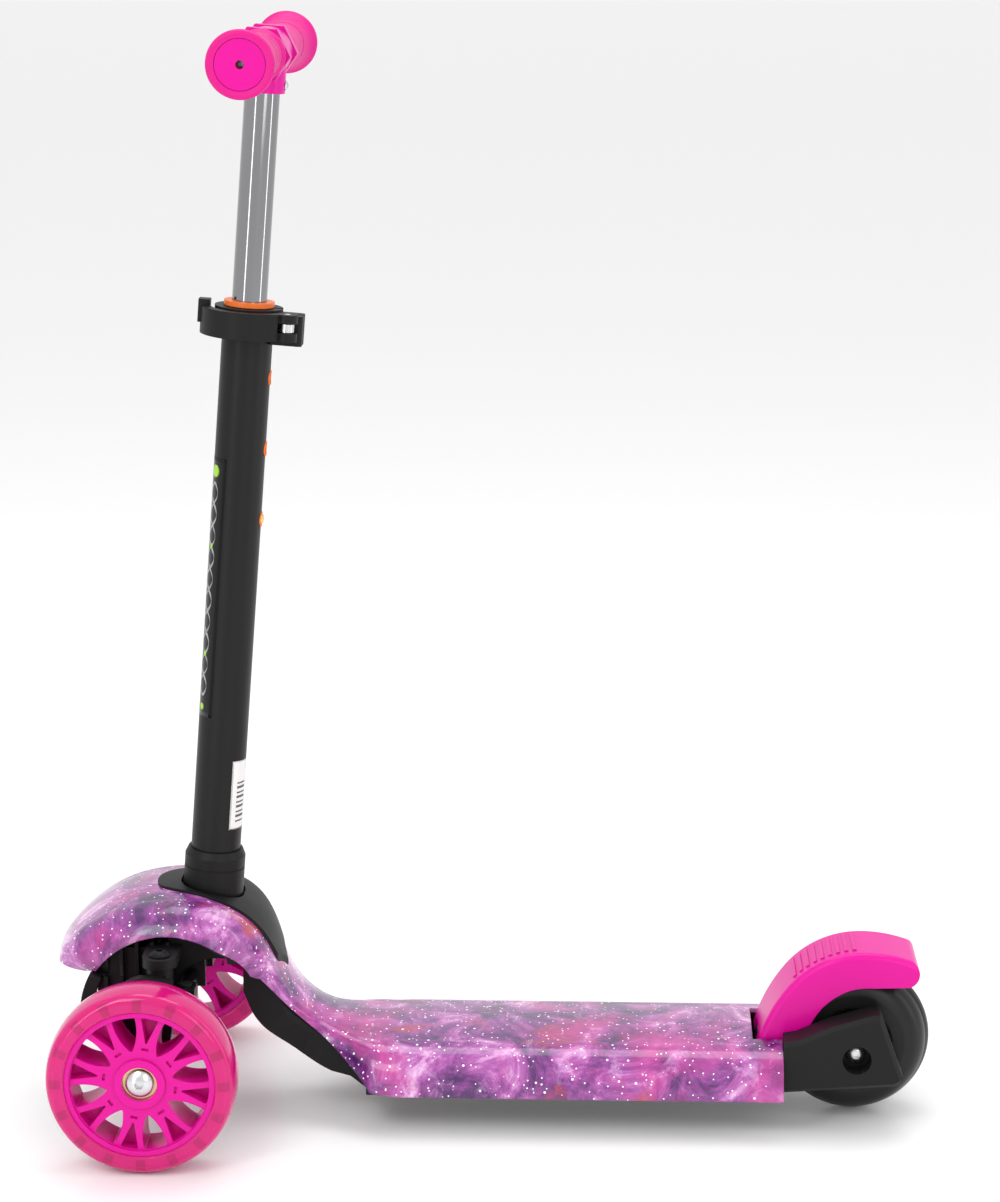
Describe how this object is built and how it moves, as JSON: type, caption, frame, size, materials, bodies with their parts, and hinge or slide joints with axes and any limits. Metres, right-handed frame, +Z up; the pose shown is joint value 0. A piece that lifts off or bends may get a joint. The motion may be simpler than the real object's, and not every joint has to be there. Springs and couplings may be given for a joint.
{
  "type": "kick scooter",
  "caption": "Child's kick scooter with two leaning-steered front wheels, one rear wheel, a foot brake and a handlebar with adjustable height.",
  "frame": {"origin": "on the ground under the middle of the scooter's overall length, on its centre plane", "axes": "+Z up, +X towards the rear wheel, so the rider travels towards -X, and -Y is the rider's left"},
  "size_m": [0.5679, 0.2736, 0.7038],
  "materials": {
    "galaxy_plastic": "glossy printed film over moulded shell",
    "pink_plastic": "semi-gloss",
    "pink_grip": "soft satin",
    "pink_urethane": "translucent gloss",
    "black_plastic": "fine grain",
    "black_paint": "semi-gloss",
    "black_urethane": "satin",
    "orange_plastic": "satin",
    "chrome_tube": "mirror",
    "steel": "zinc plated",
    "black_steel": "black oxide",
    "brass": "polished",
    "brake_metal": "wear plate"
  },
  "bodies": {
    "deck": {"deck_shell": "galaxy_plastic", "steering_cover": "black_plastic", "front_chassis": "black_plastic", "under_frame": "black_plastic", "rear_bracket": "black_plastic", "rear_axle": "steel", "rear_axle_nut": "steel", "brake_pin": "steel", "rear_spacer": "steel", "rear_side_spacers": "steel", "lean_pin": "black_steel", "lean_pin_clips": "steel", "kingpins": "black_steel", "kingpin_nuts": "black_steel", "deck_screws": "steel", "bracket_screws": "steel", "centring_spring_left": "black_steel", "centring_spring_right": "black_steel", "brake_spring": "steel"},
    "stem": {"stem_socket": "black_plastic", "stem_pin": "black_steel", "outer_tube": "black_paint", "guide_sleeve": "orange_plastic", "clamp_collar": "black_plastic", "clamp_bolt": "steel", "clamp_nut": "steel", "cam_pin": "steel"},
    "clamp_lever": {"clamp_lever": "black_plastic"},
    "handlebar": {"inner_tube": "chrome_tube", "tube_plug": "black_plastic", "t_hub": "pink_plastic", "hub_screw": "steel", "bar_core": "chrome_tube", "grip_left": "pink_grip", "grip_right": "pink_grip", "bar_end_plugs": "pink_plastic", "button_spring": "steel"},
    "height_button": {"snap_button": "brass"},
    "tie_rod": {"tie_rod": "black_steel"},
    "knuckle_left": {"knuckle_left": "black_plastic", "front_axle_left": "steel", "axle_nut_left": "steel", "front_spacer_left": "steel"},
    "knuckle_right": {"knuckle_right": "black_plastic", "front_axle_right": "steel", "axle_nut_right": "steel", "front_spacer_right": "steel"},
    "front_wheel_left": {"front_hub_left": "pink_plastic", "front_tyre_left": "pink_urethane", "front_bearings_left": "steel"},
    "front_wheel_right": {"front_hub_right": "pink_plastic", "front_tyre_right": "pink_urethane", "front_bearings_right": "steel"},
    "rear_wheel": {"rear_hub": "black_plastic", "rear_tyre": "black_urethane", "rear_bearings": "steel"},
    "brake": {"brake_fender": "pink_plastic", "brake_pad": "brake_metal"}
  },
  "joints": [
    {"name": "stem_lean", "type": "hinge", "parent": "deck", "child": "stem", "pos_m": [-0.1855, 0, 0.126], "axis": [1, 0, 0], "range_deg": [-8, 8], "stiffness_Nm_per_rad": 6},
    {"name": "tie_rod_slide", "type": "slide", "parent": "deck", "child": "tie_rod", "axis": [0, 1, 0], "range_m": [-0.0038, 0.0038], "deforming": ["centring_spring_left", "centring_spring_right"]},
    {"name": "knuckle_left_steer", "type": "hinge", "parent": "deck", "child": "knuckle_left", "pos_m": [-0.209, -0.076, 0.1], "axis": [0, 0, 1], "range_deg": [-13.2, 13.2]},
    {"name": "knuckle_right_steer", "type": "hinge", "parent": "deck", "child": "knuckle_right", "pos_m": [-0.209, 0.076, 0.1], "axis": [0, 0, 1], "range_deg": [-13.2, 13.2]},
    {"name": "front_wheel_left_spin", "type": "hinge", "parent": "knuckle_left", "child": "front_wheel_left", "pos_m": [-0.215, -0.12, 0.06], "axis": [0, 1, 0], "continuous": true},
    {"name": "front_wheel_right_spin", "type": "hinge", "parent": "knuckle_right", "child": "front_wheel_right", "pos_m": [-0.215, 0.12, 0.06], "axis": [0, 1, 0], "continuous": true},
    {"name": "rear_wheel_spin", "type": "hinge", "parent": "deck", "child": "rear_wheel", "pos_m": [0.234, 0, 0.05], "axis": [0, 1, 0], "continuous": true},
    {"name": "clamp_lever_swing", "type": "hinge", "parent": "stem", "child": "clamp_lever", "pos_m": [-0.12879, -0.016, 0.51525], "axis": [0.0785, 0, 0.9969], "range_deg": [0, 140]},
    {"name": "handlebar_height", "type": "slide", "parent": "stem", "child": "handlebar", "axis": [0.0785, 0, 0.9969], "range_m": [0, 0.091], "deforming": ["snap_button"]},
    {"name": "height_button_press", "type": "slide", "parent": "handlebar", "child": "height_button", "axis": [-0.9969, 0, 0.0785], "range_m": [0, 0.0063], "stiffness_N_per_m": 800, "deforming": ["button_spring"]},
    {"name": "brake_press", "type": "hinge", "parent": "deck", "child": "brake", "pos_m": [0.1765, 0, 0.048], "axis": [0, 1, 0], "range_deg": [0, 2.4], "stiffness_Nm_per_rad": 12, "springref_deg": -171.89, "deforming": ["brake_spring"]}
  ],
  "couplings": [
    {"joint": "tie_rod_slide", "follows": "stem_lean", "m_per_rad": 0.026},
    {"joint": "knuckle_left_steer", "follows": "stem_lean", "ratio": 1.625},
    {"joint": "knuckle_right_steer", "follows": "stem_lean", "ratio": 1.625}
  ]
}
